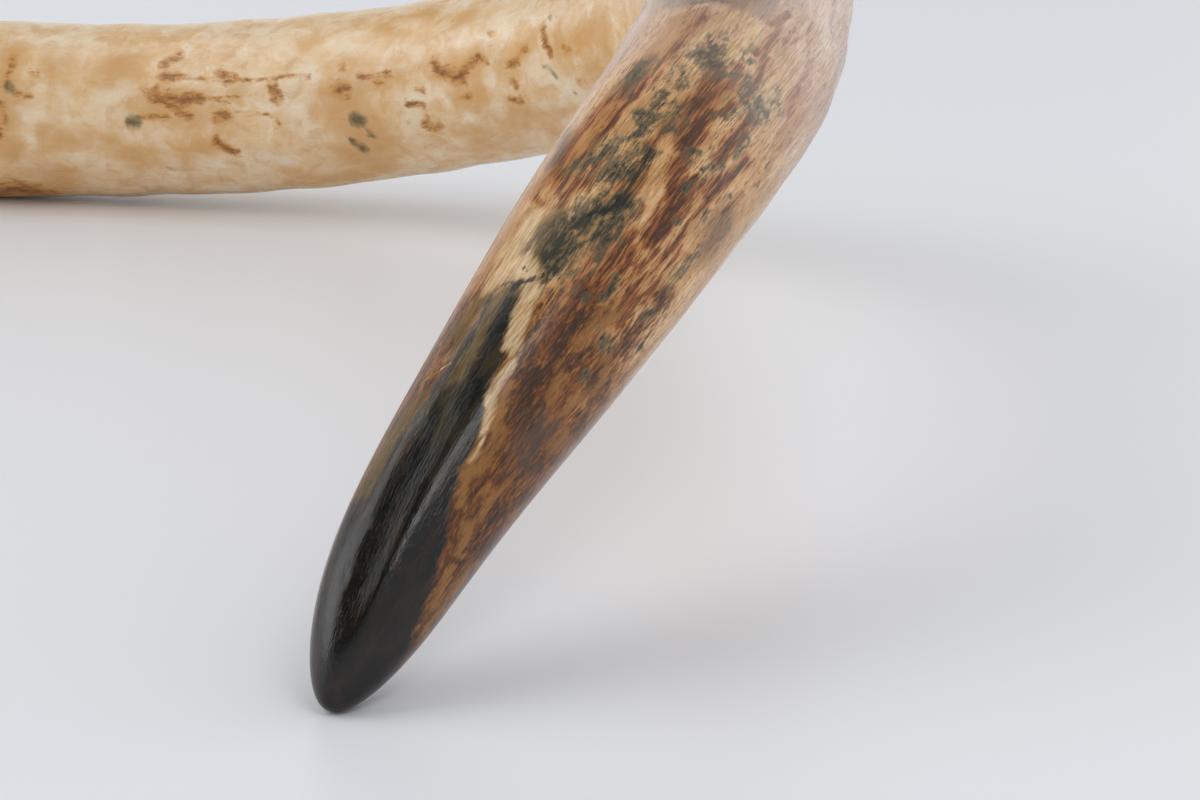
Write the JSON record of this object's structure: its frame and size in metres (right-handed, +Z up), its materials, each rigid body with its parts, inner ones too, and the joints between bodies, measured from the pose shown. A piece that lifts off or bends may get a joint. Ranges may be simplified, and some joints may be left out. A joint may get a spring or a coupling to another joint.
{
  "type": "mammoth tusk",
  "caption": "Long curled tusk of old polished ivory with a dark rounded tip, a sawn root with a pulp hollow, resting on its tip and its root half.",
  "frame": {"origin": "middle of the tusk's plan box, on the surface that it rests on", "axes": "+X away from the root end along the root half, +Y from the tip towards the back of the curl, +Z up"},
  "size_m": [1.0808, 0.9286, 0.2093],
  "materials": {
    "ivory": "polished"
  },
  "bodies": {
    "root": {"tusk": "ivory"}
  },
  "joints": []
}
